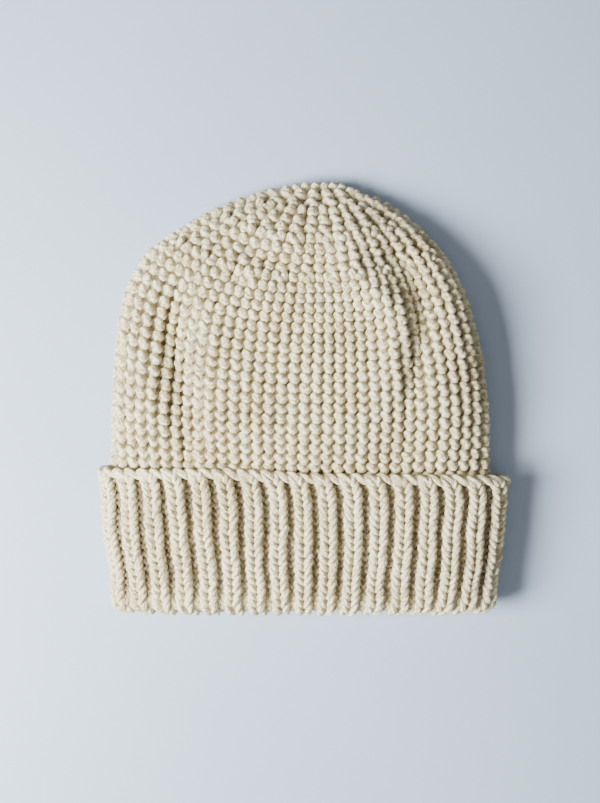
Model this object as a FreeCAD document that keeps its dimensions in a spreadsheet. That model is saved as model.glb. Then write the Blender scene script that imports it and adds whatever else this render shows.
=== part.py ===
"""A hand-knitted beanie laid flat, in millimetres.

+Z is up from the table, +Y runs from the folded brim to the crown's top, and the origin is the
centre of the bounding box, on the table. Every layer of fabric is a closed shell with a D-shaped
section: flat where it lies on the table, round at the two sides and gently domed above.
"""

import FreeCAD, Part
import math
import os
import Sketcher

from FreeCAD import Rotation, Vector

# ---------------------------------------------------------------- driving dimensions

SIZES = {
    "hat_length": 225.0,
    "cuff_height": 76.0,
    "cuff_top_width": 216.0,
    "cuff_bottom_width": 203.0,
    "cuff_thickness": 36.0,
    "crown_width": 199.6,
    "crown_thickness": 38.0,
    "crown_lean": 10.0,
    "crown_wall": 5.0,
    "band_wall": 5.0,
    "turn_up_wall": 6.5,
    "layer_gap": 0.5,
    "cuff_slack": 3.7,
    "fold_depth": 7.0,
    "fold_round": 4.5,
    "fold_clearance": 0.3,
    "cast_on_depth": 4.0,
    "cast_on_round": 2.4,
    "side_round": 0.4,
    "rest_trim": 0.8,
    "rest_cut_depth": 3.2,
    "closing_yarn_diameter": 5.2,
    "closing_yarn_length": 11.5,
    "closing_yarn_round": 2.0,
    "closing_yarn_clearance": 0.1,
    "tail_diameter": 2.0,
    "tail_clearance": 0.4,
    "crown_tail_length": 32.0,
    "crown_tail_inset": 16.0,
    "edge_tail_length": 20.0,
    "edge_tail_height": 15.0,
}

# How far up the crown each section of its loft stands, as a share of the crown's length.
CROWN_STATIONS = (0.14, 0.3, 0.5, 0.68, 0.82, 0.92, 0.98)
HOLLOW_STATIONS = (0.14, 0.3, 0.5, 0.68, 0.82, 0.9, 0.94)

doc = FreeCAD.newDocument("Beanie")
sheet = doc.addObject("Spreadsheet::Sheet", "Sizes")
for row, (alias, size) in enumerate(SIZES.items(), start=1):
    sheet.set(f"A{row}", alias)
    sheet.set(f"B{row}", str(size))
    sheet.setAlias(f"B{row}", alias)
doc.recompute()


def size(alias):
    """The expression that reads one driving dimension."""
    return f"<<Sizes>>.{alias}"


def value(expression):
    """What an expression is worth now, as a plain number."""
    return float(sheet.evalExpression(expression))


# ---------------------------------------------------------------- places along the hat

CUFF_BOTTOM = f"(-{size('hat_length')} / 2)"
CUFF_TOP = f"({CUFF_BOTTOM} + {size('cuff_height')})"
FOLD_TOP = f"({CUFF_BOTTOM} + {size('fold_depth')})"
CAST_ON_BOTTOM = f"({CUFF_TOP} - {size('cast_on_depth')})"
CROWN_LENGTH = f"({size('hat_length')} - {size('cuff_height')})"
LAYER_STEP = f"({size('turn_up_wall')} + {size('layer_gap')})"


class Section:
    """One D-shaped outline: where it stands and how wide, high and round it is."""

    def __init__(self, along, half_width, bottom, height, radius, across="0"):
        self.along = along
        self.half_width = half_width
        self.bottom = bottom
        self.height = height
        self.radius = radius
        self.across = across

    def inside(self, wall):
        """The same outline, a wall's thickness further in all round."""
        return Section(
            self.along,
            f"({self.half_width} - {wall})",
            f"({self.bottom} + {wall})",
            f"({self.height} - 2 * {wall})",
            f"({self.radius} - {wall})",
            self.across,
        )


def cuff_section(along):
    """The turn-up's outer face, which widens from the fold to the cast-on edge."""
    share = f"(({along}) - {CUFF_BOTTOM}) / {size('cuff_height')}"
    flare = f"({size('cuff_top_width')} - {size('cuff_bottom_width')})"
    return Section(
        along,
        f"(({size('cuff_bottom_width')} + {flare} * {share}) / 2)",
        "0",
        size("cuff_thickness"),
        f"({size('side_round')} * {size('cuff_thickness')})",
    )


def band_section(along, half_width):
    """The inner band's outer face, one turned-up layer inside the cuff."""
    return Section(
        along,
        half_width,
        LAYER_STEP,
        f"({size('cuff_thickness')} - 2 * {LAYER_STEP})",
        f"({size('side_round')} * {size('cuff_thickness')} - {LAYER_STEP})",
    )


def crown_section(share):
    """The crown's outer face, at a share of the way from the cuff to the gathered top."""
    height = f"({size('crown_thickness')} * sqrt(1 - {share}^4))"
    return Section(
        f"({CUFF_TOP} + {CROWN_LENGTH} * {share})",
        f"({size('crown_width')} / 2 * sqrt(1 - {share}^3))",
        f"(0 - {size('rest_trim')})",
        f"({height} + {size('rest_trim')})",
        f"({size('side_round')} * {height})",
        f"({size('crown_lean')} * {share}^8)",
    )


BAND_TOP = band_section(
    CUFF_TOP,
    f"({size('cuff_top_width')} / 2 - {size('turn_up_wall')} - {size('cuff_slack')})",
)
BAND_BOTTOM = band_section(
    f"({FOLD_TOP} + {size('fold_clearance')})",
    f"({size('cuff_bottom_width')} / 2 - {LAYER_STEP})",
)

# ---------------------------------------------------------------- helpers for bodies


def plane(body, role):
    """One of a body's own origin planes."""
    return next(part for part in body.Origin.OriginFeatures if part.Role == role)


def new_body(label):
    body = doc.addObject("PartDesign::Body", label)
    body.Label = label
    return body


def new_sketch(body, name, role, across="0", up="0", off="0"):
    """A sketch on an origin plane, moved across and up in the plane and off along its normal."""
    sketch = body.newObject("Sketcher::SketchObject", name)
    sketch.AttachmentSupport = [(plane(body, role), "")]
    sketch.MapMode = "FlatFace"
    sketch.setExpression("AttachmentOffset.Base.x", across)
    sketch.setExpression("AttachmentOffset.Base.y", up)
    sketch.setExpression("AttachmentOffset.Base.z", off)
    return sketch


def constrain(sketch, name, expression, kind, *geometry):
    """A dimension of the sketch, bound to an expression of the driving dimensions."""
    index = sketch.addConstraint(Sketcher.Constraint(kind, *geometry, value(expression)))
    sketch.renameConstraint(index, name)
    sketch.setExpression(f"Constraints.{name}", expression)


def draw_section(body, name, section):
    """The D outline: a flat bottom line, two round sides and one wide arc over the top."""
    sketch = new_sketch(
        body, name, "XZ_Plane", section.across, section.bottom, f"-({section.along})"
    )
    reach = f"({section.half_width} - {section.radius})"
    rise = f"({section.height} - {section.radius})"
    top_radius = (
        f"(({reach}^2 + {rise}^2 - {section.radius}^2) / (2 * ({rise} - {section.radius})))"
    )
    side = value(section.radius)
    centre = value(reach)
    wide = value(top_radius)
    dome_centre = Vector(0, value(section.height) - wide, 0)
    toward_side = Vector(centre, side, 0) - dome_centre
    lean = toward_side.getAngle(Vector(1, 0, 0))
    right_angle = math.pi / 2
    up = Vector(0, 0, 1)
    right = Part.Circle(Vector(centre, side, 0), up, side)
    left = Part.Circle(Vector(-centre, side, 0), up, side)
    dome = Part.Circle(dome_centre, up, wide)
    sketch.addGeometry(
        [
            Part.LineSegment(Vector(-centre, 0, 0), Vector(centre, 0, 0)),
            Part.ArcOfCircle(right, -right_angle, lean),
            Part.ArcOfCircle(dome, lean, math.pi - lean),
            Part.ArcOfCircle(left, math.pi - lean, 3 * right_angle),
        ]
    )
    bottom, right_side, top, left_side = range(4)
    start, end, middle = 1, 2, 3
    for first, second in (
        (bottom, right_side),
        (right_side, top),
        (top, left_side),
        (left_side, bottom),
    ):
        sketch.addConstraint(Sketcher.Constraint("Tangent", first, end, second, start))
    sketch.addConstraint(Sketcher.Constraint("Horizontal", bottom))
    sketch.addConstraint(Sketcher.Constraint("Equal", right_side, left_side))
    origin = (-1, 1)
    constrain(sketch, "side", section.radius, "Radius", right_side)
    constrain(sketch, "dome", top_radius, "Radius", top)
    constrain(sketch, "reach", reach, "DistanceX", *origin, right_side, middle)
    constrain(sketch, "span", f"2 * {reach}", "DistanceX", left_side, middle, right_side, middle)
    constrain(sketch, "lift", section.radius, "DistanceY", *origin, right_side, middle)
    return sketch


def loft(body, kind, name, sections):
    """An additive or subtractive loft through D sections."""
    sketches = [
        draw_section(body, f"{name}{number}", section) for number, section in enumerate(sections)
    ]
    feature = body.newObject(f"PartDesign::{kind}", name)
    feature.Profile = sketches[0]
    feature.Sections = sketches[1:]
    feature.Ruled = len(sketches) == 2
    doc.recompute()
    return feature


def ring(label, outer, inner):
    """A tube of fabric: an outer loft with an inner loft taken out of it."""
    body = new_body(label)
    loft(body, "AdditiveLoft", f"{label}_outside", outer)
    loft(body, "SubtractiveLoft", f"{label}_inside", inner)
    return body


def end_edges(body, along):
    """The edges of a body that lie in the cross plane at one place along the hat."""
    names = []
    for number, edge in enumerate(body.Shape.Edges, start=1):
        box = edge.BoundBox
        if abs(box.YMin - along) < 1e-4 and abs(box.YMax - along) < 1e-4:
            names.append(f"Edge{number}")
    return names


def round_end(body, name, along, radius):
    """Rounds every edge of one end of a tube."""
    base = body.Tip
    edges = end_edges(body, value(along))
    fillet = body.newObject("PartDesign::Fillet", name)
    fillet.Base = (base, edges)
    fillet.setExpression("Radius", radius)
    doc.recompute()


def rod(label, across, along, height, diameter, length):
    """A straight end of yarn, lying along Y."""
    body = new_body(label)
    sketch = new_sketch(body, f"{label}_section", "XZ_Plane", across, height, f"-({along})")
    circle = Part.Circle(Vector(0, 0, 0), Vector(0, 0, 1), value(diameter) / 2)
    sketch.addGeometry(circle)
    sketch.addConstraint(Sketcher.Constraint("Coincident", 0, 3, -1, 1))
    constrain(sketch, "yarn", diameter, "Diameter", 0)
    pad = body.newObject("PartDesign::Pad", f"{label}_length")
    pad.Profile = sketch
    pad.setExpression("Length", length)
    pad.Reversed = True
    doc.recompute()
    return body


# ---------------------------------------------------------------- the crown


def make_crown():
    """The crown's fabric, open towards the brim, with the gathered hole at its top."""
    outer = [BAND_TOP] + [crown_section(share) for share in CROWN_STATIONS]
    wall = size("crown_wall")
    inner = [BAND_TOP.inside(size("band_wall"))]
    for share in HOLLOW_STATIONS:
        lying = crown_section(share)
        inner.append(
            Section(
                lying.along,
                f"({lying.half_width} - {wall})",
                wall,
                f"({lying.height} - {size('rest_trim')} - 2 * {wall})",
                f"({lying.radius} - {wall})",
                lying.across,
            )
        )
    body = ring("crown", outer, inner)
    trim_rest_face(body)
    bore_gathered_top(body)
    return body


def trim_rest_face(body):
    """Takes off what sags below the table, which leaves a true plane to rest on."""
    before = body.Shape.Volume
    sketch = new_sketch(body, "rest_plane", "XY_Plane")
    reach = size("hat_length")
    corner = value(reach)
    corners = [
        Vector(-corner, -corner, 0),
        Vector(corner, -corner, 0),
        Vector(corner, corner, 0),
        Vector(-corner, corner, 0),
    ]
    for number in range(4):
        sketch.addGeometry(Part.LineSegment(corners[number], corners[(number + 1) % 4]))
    for number in range(4):
        sketch.addConstraint(Sketcher.Constraint("Coincident", number, 2, (number + 1) % 4, 1))
    for number, kind in enumerate(("Horizontal", "Vertical", "Horizontal", "Vertical")):
        sketch.addConstraint(Sketcher.Constraint(kind, number))
    constrain(sketch, "west", reach, "DistanceX", 0, 1, -1, 1)
    constrain(sketch, "east", reach, "DistanceX", -1, 1, 0, 2)
    constrain(sketch, "south", reach, "DistanceY", 0, 1, -1, 1)
    constrain(sketch, "north", reach, "DistanceY", -1, 1, 2, 1)
    pocket = body.newObject("PartDesign::Pocket", "rest_face")
    pocket.Profile = sketch
    pocket.setExpression("Length", size("rest_cut_depth"))
    doc.recompute()
    assert body.Shape.Volume < before, "the rest face was not cut"


def gathered_top():
    """Where the closing yarn passes through the crown: across, the outer end, and height."""
    tip = crown_section(CROWN_STATIONS[-1])
    return tip.across, tip.along, f"(({tip.height} - {size('rest_trim')}) / 2)"


def bore_gathered_top(body):
    """The hole that the last stitches leave, which the closing yarn fills."""
    before = body.Shape.Volume
    across, along, height = gathered_top()
    bore = f"({size('closing_yarn_diameter')} + 2 * {size('closing_yarn_clearance')})"
    sketch = new_sketch(body, "gathered_hole", "XZ_Plane", across, height, f"-({along})")
    sketch.addGeometry(Part.Circle(Vector(0, 0, 0), Vector(0, 0, 1), value(bore) / 2))
    sketch.addConstraint(Sketcher.Constraint("Coincident", 0, 3, -1, 1))
    constrain(sketch, "bore", bore, "Diameter", 0)
    pocket = body.newObject("PartDesign::Pocket", "gathered_bore")
    pocket.Profile = sketch
    pocket.setExpression("Length", size("closing_yarn_length"))
    pocket.Reversed = True
    doc.recompute()
    if body.Shape.Volume >= before:
        pocket.Reversed = False
        doc.recompute()
    assert body.Shape.Volume < before, "the gathered hole was not cut"


def make_closing_yarn():
    """The yarn drawn through the last stitches, a rounded plug that stands a little proud."""
    across, _, height = gathered_top()
    length = size("closing_yarn_length")
    along = f"({size('hat_length')} / 2 - {length})"
    body = rod("closing_yarn", across, along, height, size("closing_yarn_diameter"), length)
    round_end(body, "closing_yarn_tip", f"({along} + {length})", size("closing_yarn_round"))
    return body


# ---------------------------------------------------------------- the ribbed brim


def make_inner_band():
    """The ribbing behind the turn-up, from the crown down to the fold."""
    wall = size("band_wall")
    return ring(
        "inner_band",
        [BAND_BOTTOM, BAND_TOP],
        [BAND_BOTTOM.inside(wall), BAND_TOP.inside(wall)],
    )


def make_cuff_fold():
    """The bottom of the brim, where the ribbing turns back up on itself."""
    outer = [cuff_section(CUFF_BOTTOM), cuff_section(FOLD_TOP)]
    wall = f"({LAYER_STEP} + {size('band_wall')})"
    body = ring("cuff_fold", outer, [section.inside(wall) for section in outer])
    round_end(body, "fold_rim", CUFF_BOTTOM, size("fold_round"))
    return body


def make_turn_up():
    """The outer layer of the brim, turned up over the inner band."""
    outer = [cuff_section(FOLD_TOP), cuff_section(CAST_ON_BOTTOM)]
    wall = size("turn_up_wall")
    return ring("turn_up", outer, [section.inside(wall) for section in outer])


def make_cast_on_edge():
    """The first row of loops, a soft rounded bead along the top of the turn-up."""
    outer = [cuff_section(CAST_ON_BOTTOM), cuff_section(CUFF_TOP)]
    wall = size("turn_up_wall")
    body = ring("cast_on_edge", outer, [section.inside(wall) for section in outer])
    round_end(body, "cast_on_bead", CUFF_TOP, size("cast_on_round"))
    return body


# ---------------------------------------------------------------- the woven-in yarn ends


def make_crown_tail():
    """The end of the closing yarn, woven in along the inside of the crown's back."""
    length = size("crown_tail_length")
    radius = f"{size('tail_diameter')} / 2"
    return rod(
        "crown_yarn_tail",
        size("crown_lean"),
        f"({size('hat_length')} / 2 - {size('crown_tail_inset')} - {length})",
        f"({size('crown_wall')} + {size('tail_clearance')} + {radius})",
        size("tail_diameter"),
        length,
    )


def make_edge_tail():
    """The cast-on's loose end, tucked in beside the turn-up, whose slant it follows."""
    length = size("edge_tail_length")
    body = rod("cast_on_yarn_tail", "0", f"(0 - {length})", "0", size("tail_diameter"), length)
    turn_up = cuff_section(CAST_ON_BOTTOM).inside(size("turn_up_wall"))
    across = f"({turn_up.half_width} - {size('tail_clearance')} - {size('tail_diameter')} / 2)"
    flare = f"({size('cuff_top_width')} - {size('cuff_bottom_width')})"
    body.setExpression("Placement.Base.x", across)
    body.setExpression("Placement.Base.y", CAST_ON_BOTTOM)
    body.setExpression("Placement.Base.z", size("edge_tail_height"))
    body.Placement.Rotation = Rotation(Vector(0, 0, -1), 1)
    body.setExpression(
        "Placement.Rotation.Angle", f"atan({flare} / 2 / {size('cuff_height')})"
    )
    doc.recompute()
    return body


bodies = [
    make_crown(),
    make_closing_yarn(),
    make_inner_band(),
    make_cuff_fold(),
    make_turn_up(),
    make_cast_on_edge(),
    make_crown_tail(),
    make_edge_tail(),
]
doc.recompute()

# ---------------------------------------------------------------- checks, then the files

for item in doc.Objects:
    assert not {"Invalid", "Error"} & set(item.State), f"{item.Label} failed: {item.State}"
for body in bodies:
    shape = body.Shape
    assert not shape.isNull() and shape.isValid(), f"{body.Label} is not a valid solid"
    assert len(shape.Solids) == 1, f"{body.Label} has {len(shape.Solids)} solids"

os.makedirs("parts", exist_ok=True)
for body in bodies:
    box = body.Shape.optimalBoundingBox()
    print(
        f"{body.Label}: x {box.XMin:.1f} to {box.XMax:.1f}, y {box.YMin:.1f} to {box.YMax:.1f},"
        f" z {box.ZMin:.2f} to {box.ZMax:.2f}, {body.Shape.Volume / 1000:.1f} cm3"
    )
    body.Shape.exportStep(f"parts/{body.Label}.step")
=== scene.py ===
# %% [markdown]
# # A knitted beanie, laid flat
#
# A beanie is one long yarn. It is cast on at the brim, worked round and round in ribbing, then in
# plain loops for the crown, and its last loops are drawn shut at the top. This lesson builds the
# hat the same way: first the soft shape of the cloth with no thickness, then the yarn itself,
# row by row, laid over that shape. The folds, the turned-up brim and the gathered top all come
# from the shape, and the bobbles, the ribs and the gaps between them come from the yarn. The gaps
# are dark from real shadow and from shade painted into the yarn's colour.

# %% Load the frame that the hat was packed in
import math

import bmesh
import bpy
import numpy as np
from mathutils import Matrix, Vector


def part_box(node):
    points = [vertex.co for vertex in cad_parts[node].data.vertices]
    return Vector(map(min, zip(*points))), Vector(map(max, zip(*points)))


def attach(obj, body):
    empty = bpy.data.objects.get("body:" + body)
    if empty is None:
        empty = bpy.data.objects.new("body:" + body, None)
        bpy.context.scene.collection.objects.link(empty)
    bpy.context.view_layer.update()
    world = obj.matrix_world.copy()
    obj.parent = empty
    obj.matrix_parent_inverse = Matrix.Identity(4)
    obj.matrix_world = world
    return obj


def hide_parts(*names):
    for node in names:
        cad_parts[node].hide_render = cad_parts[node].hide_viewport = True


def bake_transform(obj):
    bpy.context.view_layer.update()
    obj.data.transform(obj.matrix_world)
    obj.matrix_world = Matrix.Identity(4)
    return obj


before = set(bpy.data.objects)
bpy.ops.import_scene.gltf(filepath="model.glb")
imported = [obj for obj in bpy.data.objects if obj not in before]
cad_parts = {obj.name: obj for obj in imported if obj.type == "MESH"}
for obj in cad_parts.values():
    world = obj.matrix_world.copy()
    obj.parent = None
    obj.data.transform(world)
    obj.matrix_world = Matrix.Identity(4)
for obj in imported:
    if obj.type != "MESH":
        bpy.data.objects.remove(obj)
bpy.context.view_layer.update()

MM = 0.001
SEED = 7
rng = np.random.default_rng(SEED)

# %% [markdown]
# ## The camera and the light
#
# The hat lies on a table and the camera looks straight down at it, with the crown at the top of
# the view. The light is one broad window to the lower left. A lamp could be small and sharp, but
# a wide one gives the soft edge that a shadow has indoors. A second, weaker panel stands in for
# the room, so that the shaded side of each loop stays soft.

# %% Camera
VIEW_HEIGHT = 0.597
VIEW_CENTRE = (-0.002, -0.002)
LENS_MM = 50.0

camera_data = bpy.data.cameras.new("camera")
camera_data.lens = LENS_MM
camera = bpy.data.objects.new("camera", camera_data)
camera.location = (*VIEW_CENTRE, VIEW_HEIGHT)
bpy.context.scene.collection.objects.link(camera)
bpy.context.scene.camera = camera
print("camera height in mm:", round(VIEW_HEIGHT / MM), "lens in mm:", LENS_MM)

# %% Lights and air
AIR_COLOUR = (1.0, 0.97, 0.94, 1.0)
AIR_STRENGTH = 0.15


def area_light(name, place, size, energy, colour):
    """A soft square lamp aimed at the middle of the hat."""
    data = bpy.data.lights.new(name, "AREA")
    data.size = size
    data.energy = energy
    data.color = colour
    lamp = bpy.data.objects.new(name, data)
    lamp.location = place
    lamp.rotation_euler = (-Vector(place)).to_track_quat("-Z", "Y").to_euler()
    bpy.context.scene.collection.objects.link(lamp)
    print(name, "lamp:", size, "m wide,", energy, "W")


area_light("window", place=(-0.61, -0.17, 0.58), size=0.42, energy=30.0, colour=(1.0, 0.985, 0.955))
area_light("room", place=(0.0, -0.1, 1.2), size=1.0, energy=2.5, colour=(0.98, 0.98, 1.0))

world = bpy.data.worlds.new("air")
world.use_nodes = True
world.node_tree.nodes["Background"].inputs["Color"].default_value = AIR_COLOUR
world.node_tree.nodes["Background"].inputs["Strength"].default_value = AIR_STRENGTH
bpy.context.scene.world = world

# %% [markdown]
# ## The table
#
# Under the hat is a pale, cool table top with a faint cloudiness. A plane is enough for it. A
# noise texture on Object coordinates mixes two close tones, so that the plane isn't dead flat in
# colour.

# %% The table
TABLE_SIZE = 8.0
TABLE_TONES = ((0.41, 0.52, 0.69, 1.0), (0.50, 0.61, 0.78, 1.0))
TABLE_ROUGHNESS = 0.45
CLOUD_SCALE = 6.0
CLOUD_DETAIL = 4.0


def table_material():
    """A pale, slightly cool table top with a faint cloudiness."""
    material = bpy.data.materials.new("table")
    material.use_nodes = True
    nodes, links = material.node_tree.nodes, material.node_tree.links
    shader = nodes["Principled BSDF"]
    shader.inputs["Roughness"].default_value = TABLE_ROUGHNESS
    place = nodes.new("ShaderNodeTexCoord")
    cloud = nodes.new("ShaderNodeTexNoise")
    cloud.inputs["Scale"].default_value = CLOUD_SCALE
    cloud.inputs["Detail"].default_value = CLOUD_DETAIL
    tone = nodes.new("ShaderNodeMix")
    tone.data_type = "RGBA"
    tone.inputs["A"].default_value = TABLE_TONES[0]
    tone.inputs["B"].default_value = TABLE_TONES[1]
    links.new(place.outputs["Object"], cloud.inputs["Vector"])
    links.new(cloud.outputs["Fac"], tone.inputs["Factor"])
    links.new(tone.outputs["Result"], shader.inputs["Base Color"])
    return material


bpy.ops.mesh.primitive_plane_add(size=TABLE_SIZE, location=(0, 0, 0))
table = bpy.context.object
table.name = "table"
table.data.materials.append(table_material())
print("table:", tuple(round(side, 2) for side in table.dimensions))

# %% [markdown]
# ## The yarn's finish
#
# The yarn is undyed wool, spun soft: cream, matt, with strands that wind round it and a fine
# tangle of fibres. A plain colour would look like plaster. The twist needs coordinates that run
# along the yarn, so each tube carries a UV map whose U is the distance along it in yarn widths
# and whose V goes once round. The twist, the fibres and the mottled colour are one node group,
# because the crown and the ribbing share them with slightly different tints. The group also
# paints shade into the colour: darker in the grooves between plies and on yarn sunk between loops.


# %% The yarn node group and its sockets
wool_group = bpy.data.node_groups.new("Wool", "ShaderNodeTree")
for name in ("Light", "Shade", "Painted Shade"):
    wool_group.interface.new_socket(name, in_out="INPUT", socket_type="NodeSocketColor")
wool_group.interface.new_socket("Plies", in_out="INPUT", socket_type="NodeSocketFloat")
wool_group.interface.new_socket("Colour", in_out="OUTPUT", socket_type="NodeSocketColor")
wool_group.interface.new_socket("Roughness", in_out="OUTPUT", socket_type="NodeSocketFloat")
wool_group.interface.new_socket("Height", in_out="OUTPUT", socket_type="NodeSocketFloat")
given = wool_group.nodes.new("NodeGroupInput")
result = wool_group.nodes.new("NodeGroupOutput")
print("wool group sockets:", [item.name for item in wool_group.interface.items_tree])


# %% Helpers that add nodes to the group
def maths(operation, first, second=None):
    """One step of arithmetic in the group, on sockets or plain numbers."""
    node = wool_group.nodes.new("ShaderNodeMath")
    node.operation = operation
    for socket, source in zip(node.inputs, (first, second)):
        if isinstance(source, (int, float)):
            socket.default_value = source
        elif source is not None:
            wool_group.links.new(source, socket)
    return node.outputs["Value"]


def noise(vector, scale, detail):
    """A cloudy value between 0 and 1."""
    node = wool_group.nodes.new("ShaderNodeTexNoise")
    node.inputs["Scale"].default_value = scale
    node.inputs["Detail"].default_value = detail
    wool_group.links.new(vector, node.inputs["Vector"])
    return node.outputs["Fac"]


def colour_mix(factor, first, second):
    """A colour between two, given as sockets or plain colours."""
    node = wool_group.nodes.new("ShaderNodeMix")
    node.data_type = "RGBA"
    wool_group.links.new(factor, node.inputs["Factor"])
    for socket, source in ((node.inputs["A"], first), (node.inputs["B"], second)):
        if isinstance(source, tuple):
            socket.default_value = source
        else:
            wool_group.links.new(source, socket)
    return node.outputs["Result"]


# %% [markdown]
# ### The twist and the fibres
#
# Strands wind round the yarn, so one coordinate, along plus around, stays level on a strand. Its
# cosine gives the rounded plies. A noise that is stretched along the strand gives the fibres.

# %% Twist and fibres
TURNS_PER_WIDTH = 0.42
FIBRE_LENGTHWAYS = 1.1
FIBRE_CROSSWAYS = 26.0

coordinates = wool_group.nodes.new("ShaderNodeTexCoord")
split = wool_group.nodes.new("ShaderNodeSeparateXYZ")
wool_group.links.new(coordinates.outputs["UV"], split.inputs["Vector"])
lengthways, around = split.outputs["X"], split.outputs["Y"]

winding = maths("ADD", maths("MULTIPLY", lengthways, TURNS_PER_WIDTH), around)
ply_turns = maths("MULTIPLY", maths("MULTIPLY", winding, given.outputs["Plies"]), math.tau)
ply = maths("MULTIPLY", maths("ADD", maths("COSINE", ply_turns), 1.0), 0.5)
rounded = maths("POWER", ply, 0.5)

fibre_place = wool_group.nodes.new("ShaderNodeCombineXYZ")
wool_group.links.new(maths("MULTIPLY", lengthways, FIBRE_LENGTHWAYS), fibre_place.inputs["X"])
wool_group.links.new(maths("MULTIPLY", winding, FIBRE_CROSSWAYS), fibre_place.inputs["Y"])
fibre_grain = noise(fibre_place.outputs["Vector"], 1.0, 3.0)
print("twist and fibres:", len(wool_group.nodes), "nodes so far")

# %% [markdown]
# ### The colour
#
# The cream of wool isn't one colour. It has slow mottling, patches that are a little greyer, and
# a grain as fine as the down. Shade is painted in too: the grooves between plies are darkened,
# and yarn sunk deep between the loops, which each mesh tells through its "sunk" attribute, goes
# towards a dark painted-shade colour.

# %% Colour
MOTTLE_SCALE = 38.0
GRAIN_SCALE = 750.0
PATCH_SCALE = 95.0
PATCH_COLOUR = (0.80, 0.78, 0.64, 1.0)
PATCH_FROM = 0.3
PATCH_STRENGTH = 1.3
MOTTLE_SHARE = 0.8
FIBRE_SHARE = 0.6
GRAIN_SHARE = 1.7
PLY_GROOVE_SHADE = -0.35
LIGHT_UNDER = 1.12
SHADE_OVER = 1.64

mottle = noise(coordinates.outputs["Object"], MOTTLE_SCALE, 3.0)
grains = noise(coordinates.outputs["Object"], GRAIN_SCALE, 4.0)
patches = noise(coordinates.outputs["Object"], PATCH_SCALE, 2.0)

darkness = maths("MULTIPLY", mottle, MOTTLE_SHARE)
darkness = maths("ADD", darkness, maths("MULTIPLY", fibre_grain, FIBRE_SHARE))
darkness = maths("ADD", darkness, maths("MULTIPLY", grains, GRAIN_SHARE))
# The ply term is painted shade: it darkens the colour in the grooves between the plies.
darkness = maths("ADD", darkness, maths("MULTIPLY", rounded, PLY_GROOVE_SHADE))
ramp = wool_group.nodes.new("ShaderNodeMapRange")
ramp.inputs["From Min"].default_value = LIGHT_UNDER
ramp.inputs["From Max"].default_value = SHADE_OVER
wool_group.links.new(darkness, ramp.inputs["Value"])

greyness = maths("MULTIPLY", maths("SUBTRACT", patches, PATCH_FROM), PATCH_STRENGTH)
light = colour_mix(greyness, given.outputs["Light"], PATCH_COLOUR)
tone = colour_mix(ramp.outputs["Result"], light, given.outputs["Shade"])
# Painted shade: the deeper a point is sunk between the loops, the nearer its colour goes to the dark
# painted-shade colour.
sunk = wool_group.nodes.new("ShaderNodeAttribute")
sunk.attribute_name = "sunk"
colour = colour_mix(sunk.outputs["Fac"], tone, given.outputs["Painted Shade"])
wool_group.links.new(colour, result.inputs["Colour"])
print("colour:", len(wool_group.nodes), "nodes so far")

# %% [markdown]
# ### Roughness and height
#
# Wool is rough all over, and the grain only varies it a little. The height drives a bump, which
# is right for strands and fibres much finer than the tube: the loops themselves are real shape.

# %% Roughness and height
LEAST_ROUGHNESS = 0.82
GRAIN_ROUGHNESS = 0.16

roughness = maths("ADD", LEAST_ROUGHNESS, maths("MULTIPLY", grains, GRAIN_ROUGHNESS))
wool_group.links.new(roughness, result.inputs["Roughness"])
height = maths("ADD", maths("MULTIPLY", rounded, 0.5), maths("MULTIPLY", fibre_grain, 0.5))
height = maths("ADD", height, maths("MULTIPLY", grains, 1.0))
wool_group.links.new(height, result.inputs["Height"])
print("wool group:", len(wool_group.nodes), "nodes,", len(wool_group.links), "links")

# %% [markdown]
# ### Two tints of one wool
#
# The crown and the ribbing are the same yarn in two close tints. The ribbing's painted shade for
# sunk yarn is darker, which darkens its deep, close channels. Each material is a matt shader with
# a little sheen for the down, and takes its colour, roughness and bump from the group.

# %% The two wools
SHEEN_TINT = (1.0, 0.97, 0.9, 1.0)
BUMP_DEPTH = 0.9 * MM


def wool_material(name, light, shade, painted_shade, plies):
    """A matt, slightly downy wool in one tint, with a painted shade for sunk yarn."""
    material = bpy.data.materials.new(name)
    material.use_nodes = True
    nodes, links = material.node_tree.nodes, material.node_tree.links
    shader = nodes["Principled BSDF"]
    shader.inputs["Sheen Weight"].default_value = 0.25
    shader.inputs["Sheen Roughness"].default_value = 0.6
    shader.inputs["Sheen Tint"].default_value = SHEEN_TINT
    shader.inputs["Specular IOR Level"].default_value = 0.15
    wool = nodes.new("ShaderNodeGroup")
    wool.node_tree = wool_group
    wool.inputs["Light"].default_value = light
    wool.inputs["Shade"].default_value = shade
    wool.inputs["Painted Shade"].default_value = painted_shade
    wool.inputs["Plies"].default_value = plies
    bump = nodes.new("ShaderNodeBump")
    bump.inputs["Strength"].default_value = 0.9
    bump.inputs["Distance"].default_value = BUMP_DEPTH
    links.new(wool.outputs["Colour"], shader.inputs["Base Color"])
    links.new(wool.outputs["Roughness"], shader.inputs["Roughness"])
    links.new(wool.outputs["Height"], bump.inputs["Height"])
    links.new(bump.outputs["Normal"], shader.inputs["Normal"])
    return material


# The third colour of each wool is its painted shade for sunk yarn; the ribbing's is darker.
crown_wool = wool_material(
    "crown_wool", (1.0, 0.93, 0.60, 1.0), (0.54, 0.43, 0.23, 1.0), (0.15, 0.11, 0.05, 1.0), 3.0
)
rib_wool = wool_material(
    "rib_wool", (1.0, 0.93, 0.62, 1.0), (0.54, 0.43, 0.24, 1.0), (0.10, 0.065, 0.03, 1.0), 3.0
)
print("materials:", [m.name for m in bpy.data.materials])

# %% [markdown]
# ## The shape of the cloth
#
# Before any yarn there is the shape that it lies on: a surface with no thickness, through the
# middle of the cloth. It could be sculpted or simulated. Here it is set out like a pattern, by a
# few guide lines, because a hand-laid hat has an outline that a pattern gives exactly. Each
# cross-section is a flattened ring: pressed flat on the table, tight at the two sides, gently
# domed above.


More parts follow.
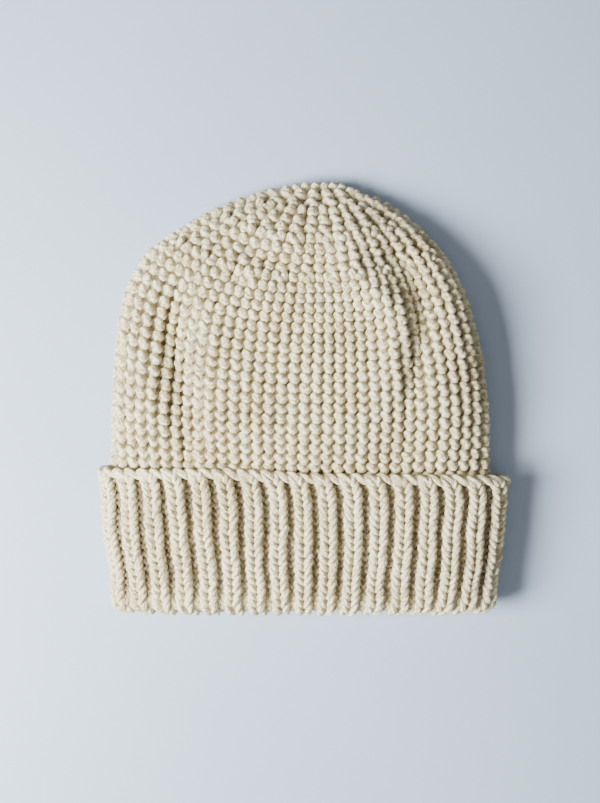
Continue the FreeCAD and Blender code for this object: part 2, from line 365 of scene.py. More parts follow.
# %% Smooth lines through a few points
LINE_STEPS = 24
PROFILE_STEPS = 400


def curve_through(points, steps):
    """A smooth curve from the second point to the last but one, in so many steps a span."""
    step = np.linspace(0, 1, steps, endpoint=False)[:, None]
    spans = []
    for a, b, c, d in zip(points, points[1:], points[2:], points[3:]):
        spans.append(
            b
            + 0.5 * step * (c - a)
            + step**2 * (a - 2.5 * b + 2 * c - 0.5 * d)
            + step**3 * (1.5 * (b - c) + 0.5 * (d - a))
        )
    return np.vstack(spans)


def smooth_line(points, shares):
    """Points at these shares of the length of a smooth line through a few chosen points."""
    knots = np.array(points, float)
    ends = np.vstack([2 * knots[0] - knots[1], knots, 2 * knots[-1] - knots[-2]])
    line = np.vstack([curve_through(ends, LINE_STEPS), knots[-1:]])
    length = np.concatenate([[0], np.cumsum(np.linalg.norm(np.diff(line, axis=0), axis=1))])
    at = np.asarray(shares) * length[-1]
    return np.stack([np.interp(at, length, line[:, axis]) for axis in range(line.shape[1])], -1)


def profile(points, at):
    """A smooth graph through a few (place, value) points, read at any places."""
    line = smooth_line(points, np.linspace(0, 1, PROFILE_STEPS))
    return np.interp(at, line[:, 0], line[:, 1])


print("halfway along a bent line:", smooth_line([(0, 0), (1, 1), (2, 0)], [0.5]))


# %% [markdown]
# ### Slow unevenness
#
# Nothing knitted lies perfectly smooth. A few slow waves, with seeded directions so that every
# run gives the same hat, are added up and used to lift and sway the cloth by about a millimetre.


# %% Slow unevenness
def smooth_noise(shape, cells, seed):
    """Slow, seeded variation between -1 and 1 over a grid that wraps round its second axis."""
    source = np.random.default_rng(seed)
    up = np.linspace(0, 1, shape[0])[:, None]
    round_ = np.linspace(0, 1, shape[1], endpoint=False)[None, :]
    total = np.zeros(shape)
    for _ in range(cells * 3):
        phase = source.uniform(0, math.tau, 2)
        waves = source.integers(1, cells + 1, 2)
        total += np.cos(math.tau * waves[0] * up * 0.5 + phase[0]) * np.cos(
            math.tau * waves[1] * round_ + phase[1]
        )
    return total / np.abs(total).max()


print("a little of it:", smooth_noise((2, 4), 3, SEED).round(2).tolist())

# %% [markdown]
# ## A flattened ring
#
# Every cross-section of the empty hat is a ring pressed flat. A circle squashed to an oval would
# be too pointed at the sides. A rounder-cornered oval has the right full sides, and its under
# half is flatter than its upper half because it lies on the table. Its points are then spaced
# evenly along it, so that the stitches laid on it later all come out one width.

# %% A ring-shaped section, spaced evenly round
AROUND = 768
FLATNESS_ACROSS = 3.6
FLATNESS_ACROSS_UNDER = 1.4 * FLATNESS_ACROSS
FLATNESS_UP = 2.1
FLATNESS_UNDER = 3.4


def ring_shape(half_width, half_height):
    """A soft flattened ring: across and up, from -1 to 1, at even steps round from the top."""
    turn = np.linspace(0, math.tau, 4 * AROUND + 1)
    under = np.cos(turn) < 0
    across = np.sign(np.sin(turn)) * np.abs(np.sin(turn)) ** (
        2 / np.where(under, FLATNESS_ACROSS_UNDER, FLATNESS_ACROSS)
    )
    up = np.sign(np.cos(turn)) * np.abs(np.cos(turn)) ** (
        2 / np.where(under, FLATNESS_UNDER, FLATNESS_UP)
    )
    steps = np.hypot(np.diff(across) * half_width, np.diff(up) * half_height)
    length = np.concatenate([[0], np.cumsum(steps)])
    even = np.linspace(0, length[-1], AROUND, endpoint=False)
    return np.interp(even, length, across), np.interp(even, length, up)


print("ring, a quarter round:", [round(float(share[AROUND // 4]), 3) for share in ring_shape(98, 15)])

# %% [markdown]
# ## Laying yarn on the cloth
#
# A stitch is easiest to describe on flat knitting: so far across, so far up, and so far out of
# the cloth. The cloth here is a grid of places with an outward direction at each. Reading it at a
# share of the way up and round, and moving out by a depth, bends any flat stitch over the hat. It
# also says how far each point is sunk below the top, which the wool's colour turns into painted
# shade.


# %% The cloth: a grid of places with a way out at each
class Cloth:
    """A surface that wraps round the hat: rows of places, and the outward direction at each."""

    def __init__(self, places):
        self.places = places
        along_rows = np.gradient(places, axis=0)
        wrapped = np.concatenate([places[:, -1:], places, places[:, :1]], axis=1)
        along_ring = (wrapped[:, 2:] - wrapped[:, :-2]) / 2
        out = np.cross(along_ring, along_rows)
        self.out = out / np.linalg.norm(out, axis=2, keepdims=True)

    def read(self, grid, share, turn):
        """The grid's value at a share of the way up the rows and a share of a turn round."""
        row = np.clip(share, 0, 1) * (grid.shape[0] - 1)
        column = (turn % 1.0) * grid.shape[1]
        r0 = np.minimum(row.astype(int), grid.shape[0] - 2)
        c0 = column.astype(int) % grid.shape[1]
        c1 = (c0 + 1) % grid.shape[1]
        fr = (row - r0)[:, None]
        fc = (column - np.floor(column))[:, None]
        low = grid[r0, c0] * (1 - fc) + grid[r0, c1] * fc
        high = grid[r0 + 1, c0] * (1 - fc) + grid[r0 + 1, c1] * fc
        return low * (1 - fr) + high * fr

    def lay(self, share, turn, depth, top, bottom):
        """Places on the cloth moved out by a depth in mm, and how far each is sunk, for painted
        shade.
        """
        place = self.read(self.places, share, turn)
        place = place + self.read(self.out, share, turn) * depth[:, None] * MM
        # How far sunk, from 0 at the top depth to 1 at the bottom one: the share of painted shade.
        sunk = np.clip((top - depth) / (top - bottom), 0, 1)
        return np.hstack([place, sunk[:, None]])


# %% [markdown]
# ## The crown's shape
#
# The crown is a bag that leans a little. Its left side rises straight to a shoulder and then
# slopes to the top, and its right side is rounder. Three guide lines, left, middle and right,
# carry the rows, so the rows rise at the sides and close towards the gathered top. Soft folds
# are pressed into the upper side where the empty hat sagged as it was laid down.

# %% Crown guides, in millimetres
CROWN_LEFT = [(-98, -46), (-97.3, -20), (-96.4, 9), (-93.3, 41), (-88.5, 60), (-81, 72.5),
              (-69, 82.5), (-48, 95.5), (-25, 104.5), (-9, 109)]
CROWN_MIDDLE = [(-2, -46), (-1, 0), (2, 50), (6, 92), (8, 110.6)]
CROWN_RIGHT = [(94.5, -46), (94, -14), (92, 9), (88, 30.5), (80.8, 54.5), (70.6, 73),
               (58, 87.5), (43.5, 99), (30, 106), (22, 109)]
CROWN_TOP_HEIGHT = [(-50, 24.5), (-36, 28), (-15, 33.5), (10, 34.6), (45, 33.5), (75, 28.5),
                    (92, 21), (101, 15), (107, 10.5), (111, 7.4)]
CROWN_UNDER_HEIGHT = [(-50, 11.4), (-36, 8.2), (-15, 4.0), (0, 3.6), (60, 3.6), (98, 3.6),
                      (106, 4.6), (111, 6.6)]
CROWN_STEPS = 220
ROWS_RISE = 2.3
CROWN_WIDEST_AT = 0.42
print("crown from", CROWN_MIDDLE[0][1], "to", CROWN_MIDDLE[-1][1], "mm along the hat")

# %% [markdown]
# ### The soft folds
#
# Each fold is a ridge or a valley along a short line: where it runs, how wide it is, and how far
# it stands up or is pressed in. It fades at both ends, as a fold in slack knitting does. Only the
# upper side of the crown takes them.

# %% Folds in the upper side
FOLDS = [
    ([(14, 88), (24, 64), (42, 48), (48, 34), (45, 0)], 11.0, 4.4),
    ([(38, 82), (52, 64), (57.5, 42), (57, 24), (54, 2), (50, -24)], 8.5, -4.8),
    ([(60, 80), (69, 60), (78, 38), (82, 8)], 10.0, 3.4),
    ([(-64, 64), (-66, 34), (-63, 4), (-59, -24)], 14.0, -10.5),
    ([(-38, 66), (-31, 56)], 6.0, -3.6),
    ([(-52, -14), (-64, -34)], 6.0, -3.4),
    ([(-40, 84), (-20, 70), (0, 62)], 9.0, -2.4),
]
FOLD_POINTS = 25
FOLD_FADE = 0.12
CROWN_WAVE = 1.1
UPPER_FROM = 12
UPPER_OVER = 10
print("folds and their heights in mm:", [height for _, _, height in FOLDS])


def fold_height(x, y):
    """How far the folds lift or press the cloth at a place, in millimetres."""
    total = np.zeros_like(x)
    for line, width, height in FOLDS:
        points = smooth_line(line, np.linspace(0, 1, FOLD_POINTS))
        ease = np.sin(np.linspace(FOLD_FADE, math.pi - FOLD_FADE, FOLD_POINTS))
        best = np.zeros_like(x)
        for (px, py), strength in zip(points, ease):
            near = np.exp(-((x - px) ** 2 + (y - py) ** 2) / (2 * (width / 2) ** 2))
            best = np.maximum(best, near * strength)
        total += best * height
    return total


# %% [markdown]
# ### The crown's cloth
#
# Step by step along the guides, a flattened ring is set between the left and the right line. Its
# two sides are pulled up the hat more than its middle, which is what makes the rows smile. The
# folds and the slow unevenness are added last, to the upper side alone.


# %% The crown's cloth
def crown_cloth():
    """The crown's middle surface."""
    share = np.linspace(0, 1, CROWN_STEPS)
    left = smooth_line(CROWN_LEFT, share)
    middle = smooth_line(CROWN_MIDDLE, share)
    right = smooth_line(CROWN_RIGHT, share)
    places = np.zeros((CROWN_STEPS, AROUND, 3))
    for step in range(CROWN_STEPS):
        half_width = (right[step, 0] - left[step, 0]) / 2
        top = profile(CROWN_TOP_HEIGHT, middle[step, 1])
        under = profile(CROWN_UNDER_HEIGHT, middle[step, 1])
        across, up = ring_shape(half_width, (top - under) / 2)
        side = np.where(across[:, None] > 0, right[step], left[step])
        reach = np.abs(across)
        x = middle[step, 0] + (side[:, 0] - middle[step, 0]) * reach
        y = middle[step, 1] + (side[:, 1] - middle[step, 1]) * reach**ROWS_RISE
        places[step, :, 0] = x
        places[step, :, 1] = y
        top = profile(CROWN_TOP_HEIGHT, y)
        under = profile(CROWN_UNDER_HEIGHT, y)
        centre = under + (top - under) * CROWN_WIDEST_AT
        places[step, :, 2] = centre + np.where(up > 0, (top - centre) * up, (centre - under) * up)
    upper = np.clip((places[:, :, 2] - UPPER_FROM) / UPPER_OVER, 0, 1)
    places[:, :, 2] += upper * fold_height(places[:, :, 0], places[:, :, 1])
    places[:, :, 2] += upper * CROWN_WAVE * smooth_noise(places.shape[:2], 7, SEED)
    return Cloth(places * MM)


crown = crown_cloth()
print("crown cloth:", crown.places.shape, crown.places.min((0, 1)), crown.places.max((0, 1)))

# %% [markdown]
# ## The brim's shape
#
# The brim is one strip of ribbing, folded in half: up the inside from the crown, round the fold
# at the bottom, and back up the outside to the cast-on edge. One surface follows that whole
# way, so the ribs run unbroken round the fold as they do in the knitting.

# %% Brim guides, in millimetres
CUFF_TOP = -40.0
CUFF_TILT = -0.022
CUFF_BOTTOM = -108.6
CUFF_HALF_WIDTH = [(-110, 97.6), (-90, 99.4), (-60, 102.6), (-40, 104.4)]
CUFF_TOP_HEIGHT = [(-110, 28), (-100, 31), (-75, 32.2), (-40, 31.5)]
CUFF_UNDER = 4.0
LAYERS_APART = 7.6
BAND_START = -44.0
BEND_POINTS = 21
STRAIGHT_POINTS = 40
BRIM_STEPS = 260
BRIM_WIDEST_AT = 0.44
SWELL = 0.9
SWAY = 1.1
EDGE_WAVE = 1.6


def brim_route(steps):
    """Where the strip runs: its place along the hat and how far it lies inside the outer layer."""
    radius = LAYERS_APART / 2
    turn = np.linspace(0, math.pi, BEND_POINTS)[1:-1]
    inner = np.linspace((BAND_START, 2 * radius), (CUFF_BOTTOM + radius, 2 * radius), STRAIGHT_POINTS)
    fold = np.stack(
        [CUFF_BOTTOM + radius - radius * np.sin(turn), radius + radius * np.cos(turn)], -1
    )
    outer = np.linspace((CUFF_BOTTOM + radius, 0), (CUFF_TOP, 0), STRAIGHT_POINTS)
    return smooth_line(np.vstack([inner, fold, outer]), np.linspace(0, 1, steps))


def brim_cloth():
    """The brim's middle surface, from the crown down inside and up again outside."""
    route = brim_route(BRIM_STEPS)
    wave = smooth_noise((BRIM_STEPS, AROUND), 5, SEED + 1)
    sway = smooth_noise((BRIM_STEPS, AROUND), 7, SEED + 2)
    places = np.zeros((BRIM_STEPS, AROUND, 3))
    for step, (y, inset) in enumerate(route):
        half_width = profile(CUFF_HALF_WIDTH, y) - inset
        top = profile(CUFF_TOP_HEIGHT, y) - inset
        under = CUFF_UNDER + inset
        across, up = ring_shape(half_width, (top - under) / 2)
        lift = (y - CUFF_BOTTOM) / (CUFF_TOP - CUFF_BOTTOM)
        places[step, :, 0] = across * half_width
        places[step, :, 1] = y + CUFF_TILT * across * half_width * lift
        centre = under + (top - under) * BRIM_WIDEST_AT
        places[step, :, 2] = centre + np.where(up > 0, (top - centre) * up, (centre - under) * up)
        places[step, :, 2] += np.clip(up, 0, 1) * SWELL * wave[step]
        places[step, :, 0] += SWAY * sway[step]
        places[step, :, 1] += EDGE_WAVE * lift * wave[step]
    return Cloth(places * MM)


brim = brim_cloth()
print("brim cloth:", brim.places.shape, brim.places.min((0, 1)), brim.places.max((0, 1)))

# %% [markdown]
# ## From a path to a yarn
#
# A yarn is a tube along a path. It could be swept by hand, but a curve with a round bevel makes
# it in one go, and the curve is then made a mesh so that it can carry its UV map. The yarn's
# thickness wanders a little, because soft-spun wool is never even. No yarn goes down through
# the table.


# %% The tubes
CLEAR_OF_TABLE = 1.08
UNEVEN_EVERY = 0.011
UNEVEN = 0.07


def yarn_tubes(name, paths, radius, sides, ring):
    """A mesh of tubes along paths, and U at each tube's points and at its closing point."""
    curve = bpy.data.curves.new(name, "CURVE")
    curve.dimensions = "3D"
    curve.bevel_depth = radius
    curve.bevel_resolution = (sides - 4) // 2
    along, closing = [], []
    for path in paths:
        spline = curve.splines.new("POLY")
        spline.points.add(len(path) - 1)
        place = np.hstack([path[:, :3], np.ones((len(path), 1))])
        place[:, 2] = np.maximum(place[:, 2], CLEAR_OF_TABLE * radius)
        spline.points.foreach_set("co", place.ravel())
        spline.use_cyclic_u = ring
        steps = np.linalg.norm(np.roll(path[:, :3], -1, axis=0) - path[:, :3], axis=1)
        length = np.concatenate([[0], np.cumsum(steps)])
        whole, length = length[-1], length[:-1]
        knots = rng.uniform(-1, 1, int(length[-1] / UNEVEN_EVERY) + 3)
        knots[-1] = knots[0]
        thickness = 1 + UNEVEN * np.interp(length, np.linspace(0, whole, len(knots)), knots)
        if not ring:
            share = np.linspace(-1, 1, len(path))
            thickness *= np.sqrt(1 - np.abs(share) ** (len(path) / 2))
        spline.points.foreach_set("radius", thickness)
        start = rng.uniform(0, 100)
        along.append(length / (2 * radius) + start)
        closing.append(whole / (2 * radius) + start)
    holder = bpy.data.objects.new(name, curve)
    bpy.context.scene.collection.objects.link(holder)
    mesh = bpy.data.meshes.new_from_object(holder)
    bpy.data.objects.remove(holder)
    bpy.data.curves.remove(curve)
    assert len(mesh.vertices) == sides * sum(len(path) for path in paths), "unexpected tube"
    return mesh, np.concatenate(along), np.array(closing)


# %% [markdown]
# ### A map along the yarn
#
# The tubes' points come in rings, one after another, so a point's number tells which step of
# which tube it is on and which side. From that each face corner gets its U and V. The last faces
# of a ring, and those that come back to the first side, need the value past the end instead of
# zero, or the twist would be squeezed backwards across them.


# %% Coordinates and sunk yarn
def map_yarn(mesh, paths, sides, along, closing):
    """U along each tube and V round it, and how far each point is sunk, for painted shade."""
    corner = np.zeros(len(mesh.loops), int)
    mesh.loops.foreach_get("vertex_index", corner)
    step, side = (index.reshape(-1, 4) for index in np.divmod(corner, sides))
    side = np.where((np.ptp(side, axis=1) > 1)[:, None] & (side == 0), sides, side)
    which = np.repeat(np.arange(len(paths)), [len(path) for path in paths])[step]
    closes = (np.ptp(step, axis=1) > 1)[:, None] & (step == step.min(1)[:, None])
    u = np.where(closes, closing[which], along[step])
    layer = mesh.uv_layers.new(name="UVMap")
    layer.data.foreach_set("uv", np.stack([u, side / sides], -1).ravel().astype(np.float32))
    # The sunk attribute sets how much painted shade the wool puts on each point.
    sunk = mesh.attributes.new("sunk", "FLOAT", "POINT")
    sunk.data.foreach_set("value", np.repeat(np.concatenate(paths)[:, 3], sides).astype(np.float32))


# %% [markdown]
# ### A finished piece
#
# A ring of yarn meets itself without a seam. Any other yarn narrows to a point at both ends, and
# there the last ring's points are merged into one, which closes the tube. The piece then gets
# its wool, and the imported parts that it stands for are hidden.


# %% The yarn maker
def yarn_mesh(name, paths, radius, sides, ring):
    """A mesh of yarns along paths of (x, y, z, sunk)."""
    mesh, along, closing = yarn_tubes(name, paths, radius, sides, ring)
    map_yarn(mesh, paths, sides, along, closing)
    if not ring:
        ends = bmesh.new()
        ends.from_mesh(mesh)
        bmesh.ops.remove_doubles(ends, verts=ends.verts, dist=1e-7)
        ends.to_mesh(mesh)
        ends.free()
    mesh.shade_smooth()
    return mesh


def yarn_piece(name, paths, radius, sides, material, nodes, ring=True):
    """A finished piece of yarn in its own object, standing for CAD nodes."""
    piece = bpy.data.objects.new(name, yarn_mesh(name, paths, radius, sides, ring))
    piece.data.materials.append(material)
    bpy.context.scene.collection.objects.link(piece)
    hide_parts(*nodes)
    print(name, "triangles:", 2 * len(piece.data.polygons))
    return piece


# %% [markdown]
# ### Hand-knit unevenness
#
# No two loops come out alike. Every half stitch gets its own small push, and the path drifts
# smoothly from one to the next, so that the unevenness is of the same size as the loops.


# %% Hand-knit unevenness
def wander(count, points_each, amount):
    """A small uneven drift along a row, new at every half stitch."""
    knots = rng.uniform(-amount, amount, 2 * count + 1)
    knots[-1] = knots[0]
    places = np.linspace(0, 2 * count, count * points_each + 1)
    return np.interp(places, np.arange(2 * count + 1), knots)


# %% [markdown]
# ## The crown's loops
#
# The crown is worked in plain loops with their bumpy side out. Seen from that side each stitch
# shows two arcs, the head of its own loop and the dip that leads to the next, pulled together
# into one round bobble. The bobbles stand in columns, and the yarn goes behind between them. One
# wave makes the whole row: it goes up and down once a stitch, and in and out twice. Towards the
# top the stitches are worked together, so the rows hold 68, then 45, then 27, then 13 loops.
# The loops there look bigger, and with two loops drawn into one the yarn looks fuller too.

# %% Crown rows
CROWN_ROWS = 31
CROWN_STITCHES = 68
YARN = 3.75 * MM
POINTS_PER_STITCH = 20
TUBE_SIDES = 8
FEWER_FROM = {21: 1.5, 25: 2.5, 28: 5}

# One stitch's wave: in stitches across, in rows up and in millimetres out of the cloth.
ACROSS_ONCE, ACROSS_TWICE = 0.14, 0.01
UP_COSINE, UP_SINE = 0.73, 0.08
OUT_TWICE, OUT_TWICE_MERGED = 1.4, 0.06
OUT_SINE, OUT_COSINE = 0.9, 0.1
WANDER_ACROSS, WANDER_UP, WANDER_OUT = 0.05, 0.08, 0.35
# Depths in mm, out of the cloth, where the crown's painted shade begins and where it is full.
CROWN_SUNK = (1.2, -3.0)
print("crown:", CROWN_ROWS, "rows, the first of", CROWN_STITCHES, "stitches")


def crown_row(row):
    """One round of the crown, from the back's middle right round to it again."""
    merged = max([1] + [step for start, step in FEWER_FROM.items() if row >= start])
    count = int(CROWN_STITCHES / merged)
    stitch = np.linspace(0, count, count * POINTS_PER_STITCH + 1)
    once = math.tau * stitch
    across = stitch + ACROSS_TWICE * np.sin(2 * once) + ACROSS_ONCE * np.cos(once)
    across = across + wander(count, POINTS_PER_STITCH, WANDER_ACROSS)
    up = row + 0.5 + UP_COSINE * np.cos(once) - UP_SINE * np.sin(once)
    up = up + wander(count, POINTS_PER_STITCH, WANDER_UP)
    depth = (OUT_TWICE + OUT_TWICE_MERGED * merged) * np.cos(2 * once)
    depth = depth + OUT_SINE * np.sin(once) + OUT_COSINE * np.cos(once)
    depth = depth + wander(count, POINTS_PER_STITCH, WANDER_OUT)
    return crown.lay(up / CROWN_ROWS, across / count + 0.5, depth, *CROWN_SUNK)[:-1]


# %% [markdown]
# ### The crown in bands
#
# Each row is one closed ring of yarn. The rows are gathered in four bands, so that no piece is
# too heavy to handle, and the yarn of the top band is fuller. All of them stay with the hat's
# body when the brim is pulled down.

# %% The crown in four bands of rows
CROWN_PARTS = [("crown_lower", range(0, 7), 1.0), ("crown_middle", range(7, 15), 1.0),
               ("crown_upper", range(15, 23), 1.03), ("crown_top", range(23, CROWN_ROWS), 1.18)]
for part_name, rows, fuller in CROWN_PARTS:
    piece = yarn_piece(part_name, [crown_row(row) for row in rows], fuller * YARN / 2, TUBE_SIDES,
                       crown_wool, ["crown"])
    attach(piece, "hat")

# %% [markdown]
# ## The ribbing
#
# The brim is worked one loop forward, one loop back. The forward loops close up into round ribs
# that show two rows of slanted legs, and the backward loops sink between them into narrow
# channels, dark with real shadow and painted shade. One rib and one channel are drawn as a few
# points, and a smooth line through them is repeated all the way round.

# %% One rib and one channel, as a few points: across and out in millimetres, up in rows
RIBS = 34
RIB_PITCH = 12.7
HALF_RIB = [(-4.9, -0.80, -2.0), (-2.5, -0.82, -1.5), (-1.05, -0.56, 0.4), (-2.2, 0.0, 1.9),
            (-3.35, 0.55, 0.9), (-2.3, 0.92, -0.6), (0.0, 1.0, -1.1)]
CHANNEL = [(5.5, 0.0, -3.7), (5.9, 0.75, -2.5), (6.35, 0.9, -2.2), (6.8, 0.75, -2.5),
           (7.2, 0.0, -3.7)]


def both_halves(half):
    """A half stitch and its mirror image."""
    return half + [(-x, y, z) for x, y, z in half[-2::-1]]


REPEAT = np.array(both_halves(HALF_RIB) + CHANNEL)
print("points in one repeat:", len(REPEAT))

# %% [markdown]
# ### The ribbing inside
#
# The inner layer is pressed thin and stretched over the head, so both its faces show ribs. Its
# repeat is one flat rib facing out and the same rib, half a repeat on, facing in.

# %% The thin repeat
HALF_FACE = [(-2.4, -0.75, 0.6), (-1.1, -0.5, 1.1), (-1.9, 0.0, 1.2), (-2.3, 0.6, 0.8),
             (0.0, 1.0, 0.2)]
FACE = np.array(both_halves(HALF_FACE))
BACK = FACE * (1, 1, -1) + (RIB_PITCH / 2, 0, 0)
THIN_REPEAT = np.vstack([FACE, BACK])
print("points in one thin repeat:", len(THIN_REPEAT))

# %% [markdown]
# ### The rows round the brim
#
# Round the fold the cloth is stretched over a tight bend, so the channels there are shallower.
# Near the cast-on edge the ribs lean over. The same row maker serves the inside, the fold and
# the turn-up, and only the repeat that it lays differs.

# %% Brim rows
BRIM_ROWS = 38
BAND_ROWS = 16
FOLD_ROW = 19.3
FOLD_REACH = 2.0
FOLD_FILLS = 0.75
RIB_LEAN = 0.30
LEAN_REACH = 1.3
DRIFT_UP, DRIFT_ROUND, DRIFT_OUT = 0.12, 0.035, 0.3
DRIFTS_PER_RIB = 4
# Depths in mm where the ribbing's painted shade begins and where it is full, and the most painted
# shade the thin inner layer gets.
RIB_SUNK = (0.4, -3.0)
THIN_PAINTED_SHADE = 0.7
print("brim:", BRIM_ROWS, "rows,", BAND_ROWS, "of them inside")


def rib_line(points, points_each):
    """One repeat of the ribbing: across in mm, up in rows, out in mm."""
    shift = np.array([RIB_PITCH, 0, 0])
    return curve_through(np.vstack([points[-1:] - shift, points, points[:2] + shift]), points_each)


def brim_row(row, points_each):
    """One round of the ribbing."""
    thin = row < BAND_ROWS
    repeat = rib_line(THIN_REPEAT if thin else REPEAT, points_each)
    turn = np.repeat(np.arange(RIBS), len(repeat)) + np.tile(repeat[:, 0] / RIB_PITCH, RIBS)
    up = row + 0.5 + np.tile(repeat[:, 1], RIBS)
    turn = turn - RIB_LEAN * np.exp((up - BRIM_ROWS) / LEAN_REACH)
    shallow = 1 - FOLD_FILLS * np.exp(-(((up - FOLD_ROW) / FOLD_REACH) ** 2))
    depth = np.tile(repeat[:, 2], RIBS)
    depth = np.where(depth < 0, depth * shallow, depth)
    drifts = DRIFTS_PER_RIB * RIBS
    places = np.linspace(0, drifts, len(turn), endpoint=False)
    drift = [np.interp(places, np.arange(drifts + 1), np.append(knots, knots[0]))
             for knots in rng.uniform(-1, 1, (3, drifts))]
    up = up + DRIFT_UP * drift[0]
    turn = turn + DRIFT_ROUND * drift[1]
    path = brim.lay(up / BRIM_ROWS, turn / RIBS + 0.5, depth + DRIFT_OUT * drift[2], *RIB_SUNK)
    # In the thin inner layer, yarn near the middle of the cloth, where the two faces cross, gets
    # painted shade.
    if thin:
        path[:, 3] = np.clip(1 - np.abs(depth), 0, 1) * THIN_PAINTED_SHADE
    return path


# %% [markdown]
# ### The brim in bands
#
# The turn-up and the fold slide as one when the brim is pulled down, so they ride on the cuff.
# The inner layer is attached to neither body: it stays where it was built.

# %% The brim in six bands of rows
RIB_YARN = 3.05 * MM
BRIM_PARTS = [
    ("inner_band_upper", range(0, 8), 2, 6, ["inner_band"]),
    ("inner_band_lower", range(8, BAND_ROWS), 2, 6, ["inner_band"]),
    ("cuff_fold", range(BAND_ROWS, 22), 3, 8, ["cuff_fold"]),
    ("turn_up_lower", range(22, 27), 3, 8, ["turn_up"]),
    ("turn_up_middle", range(27, 33), 3, 8, ["turn_up"]),
    ("turn_up_upper", range(33, BRIM_ROWS), 3, 8, ["turn_up"]),
]
for part_name, rows, points_each, sides, replaced in BRIM_PARTS:
    piece = yarn_piece(part_name, [brim_row(row, points_each) for row in rows], RIB_YARN / 2,
                       sides, rib_wool, replaced)
    if replaced == ["inner_band"]:
        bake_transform(piece)
    else:
        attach(piece, "cuff")

# %% [markdown]
# ## The cast-on edge
#
# The first row is a twisted edge: each loop is wrapped once, so along the top of the brim runs a
# thin rope, and the ribs lean over as they run into it. Two strands wound round each other make
# the rope, once round to a rib, so that two humps show on each rib.

# %% The edge rope
ROW = 3.9
ROPE_TURNS = 34
ROPE_POINTS = 680
ROPE_RADIUS = 1.5
ROPE_OUT = 0.3
ROPE_DROP = 0.1
ROPE_DRIFTS = 2 * RIBS + 1
DRIFT_WIND, DRIFT_RISE, DRIFT_ROPE_OUT = 0.35, 0.35, 0.25
EDGE_YARN = 3.3 * MM


def edge_rope(offset):
    """One strand of the rope along the top of the turn-up."""
    turn = np.linspace(0, 1, ROPE_POINTS, endpoint=False)
    wind = math.tau * ROPE_TURNS * turn + offset
    knots = rng.uniform(-1, 1, (3, ROPE_DRIFTS))
    knots[:, -1] = knots[:, 0]
    drift = [np.interp(turn, np.linspace(0, 1, ROPE_DRIFTS), line) for line in knots]
    wind = wind + DRIFT_WIND * drift[0]
    rise = ROPE_RADIUS * np.cos(wind) + DRIFT_RISE * drift[1]
    out = ROPE_OUT + ROPE_RADIUS * np.sin(wind) + DRIFT_ROPE_OUT * drift[2]
    share = 1.0 - ROPE_DROP / BRIM_ROWS + rise / (BRIM_ROWS * ROW)
    base = brim.lay(np.minimum(share, 1.0), turn + 0.5, out, *RIB_SUNK)
    base[:, 1] += np.maximum(share - 1.0, 0) * BRIM_ROWS * ROW * MM
    return base


edge = yarn_piece("cast_on_edge", [edge_rope(0), edge_rope(math.pi)], EDGE_YARN / 2, 8,
                  rib_wool, ["cast_on_edge"])
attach(edge, "cuff")

# %% [markdown]
# ## The closing yarn
#
# When the crown is done, the yarn's end is drawn through the last loops and pulled tight. What
# shows is a small knot of yarn in the gathered top. It is one more yarn, wound twice and a half
# round in a narrowing spiral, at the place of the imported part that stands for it.

# %% The closing yarn
KNOT_POINTS = 60
KNOT_TURNS = 2.5
KNOT_REACH = (3.4, 1.2)
KNOT_WIDE, KNOT_HIGH = 1.4, 0.6
KNOT_LIFT = 0.5 * MM
KNOT_BACK = 5.0 * MM
KNOT_LENGTH = 3.5
KNOT_YARN = YARN / 1.1

low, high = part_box("closing_yarn")
centre = (low + high) / 2


def closing_path():
    """The closing yarn's small knot, wound up and drawn into the gathered loops."""
    turn = np.linspace(0, KNOT_TURNS * math.tau, KNOT_POINTS)
    reach = np.linspace(*KNOT_REACH, KNOT_POINTS)
    x = centre.x + reach * np.cos(turn) * MM * KNOT_WIDE
    z = centre.z + KNOT_LIFT + reach * np.sin(turn) * MM * KNOT_HIGH
    y = high.y - KNOT_BACK + np.linspace(0, KNOT_LENGTH, KNOT_POINTS) * MM
    return np.stack([x, y, z, np.zeros(KNOT_POINTS)], -1)


knot = yarn_piece("closing_yarn", [closing_path()], KNOT_YARN / 2, 8, crown_wool,
                  ["closing_yarn"], ring=False)
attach(knot, "hat")

# %% [markdown]
# ## The woven-in ends
#
# A knitter never cuts a yarn flush. The two ends, one at the top and one at the cast-on edge, are
# run a little way through the back of the fabric. Each is a thin yarn that waves gently along the
# packed rod that stands for it, mostly hidden.

# %% Woven-in ends
TAIL_POINTS = 40
TAIL_RADIUS = 1.0 * MM
TAIL_WAVE = 0.5 * MM
TAIL_WAVES = 3
# The woven-in ends get a fixed share of painted shade, as yarn sunk in the back of the fabric.
TAIL_SUNK = 0.3
TAIL_INSET = 1 * MM
LIES_ACROSS = 3 * MM


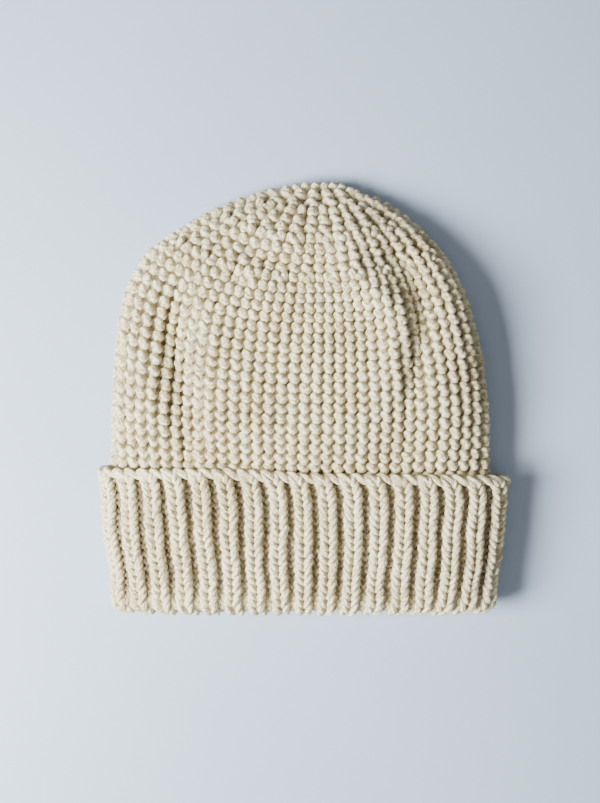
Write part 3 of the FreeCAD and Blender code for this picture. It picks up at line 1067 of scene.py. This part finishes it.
def tail_path(node):
    """A woven-in end: a gentle wave along the CAD rod that stands for it."""
    a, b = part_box(node)
    share = np.linspace(0, 1, TAIL_POINTS)
    wave = TAIL_WAVE * np.sin(share * math.tau * TAIL_WAVES)
    x = a.x + (b.x - a.x) * 0.5 + wave
    if b.x - a.x > LIES_ACROSS:
        x = a.x + TAIL_INSET + (b.x - a.x - 2 * TAIL_INSET) * share + wave * 0.3
    y = a.y + (b.y - a.y) * share
    middle = np.full(TAIL_POINTS, (a.z + b.z) / 2)
    return np.stack([x, y, middle, np.full(TAIL_POINTS, TAIL_SUNK)], -1)


for node, body, material, slot in (
    ("crown_yarn_tail", "hat", crown_wool, "crown_knit"),
    ("cast_on_yarn_tail", "cuff", rib_wool, "rib_knit"),
):
    tail = yarn_piece(node, [tail_path(node)], TAIL_RADIUS, 8, material, [node], ring=False)
    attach(tail, body)

# %% [markdown]
# ## The down
#
# Soft-spun wool is never clean-edged: loose fibres stand off the yarn and blur it. A few thousand
# fine curled hairs, each only a few faces, are scattered over both parts of the hat. Real hair
# curves would be finer, but meshes ride with their body and go into the exported model.

# %% Loose fibres
HAIR = 0.09 * MM
HAIR_RISE = ((0.0, 0.0), (0.35, 0.62), (0.7, 1.0), (1.0, 0.95))
HAIR_ROOT = 1.9
HAIR_REACH = 1.6
HAIR_DRIFT_UP, HAIR_DRIFT_ROUND = 0.009, 0.004
HAIR_SUNK = (1.0, -3.0)


def hairs(cloth, count, start):
    """Fine curled hairs that rise out of the cloth and bend over."""
    share = rng.uniform(*start, count)
    turn = rng.uniform(0, 1, count)
    drift = rng.normal(0, 1, (2, count))
    out = rng.uniform(0.5, 1.0, count) * HAIR_REACH
    points = []
    for step, rise in HAIR_RISE:
        up = share + drift[0] * HAIR_DRIFT_UP * step
        points.append(cloth.lay(up, turn + drift[1] * HAIR_DRIFT_ROUND * step,
                                HAIR_ROOT + out * rise, *HAIR_SUNK))
    return list(np.stack(points, 1))


for name, cloth, count, start, body, material, slot, node in (
    ("crown_down", crown, 3600, (0.05, 0.99), "hat", crown_wool, "crown_knit", "crown"),
    ("cuff_down", brim, 3200, (0.5, 0.995), "cuff", rib_wool, "rib_knit", "turn_up"),
):
    paths = hairs(cloth, count, start)
    down = yarn_piece(name, paths, HAIR / 2, 4, material, [node], ring=False)
    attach(down, body)
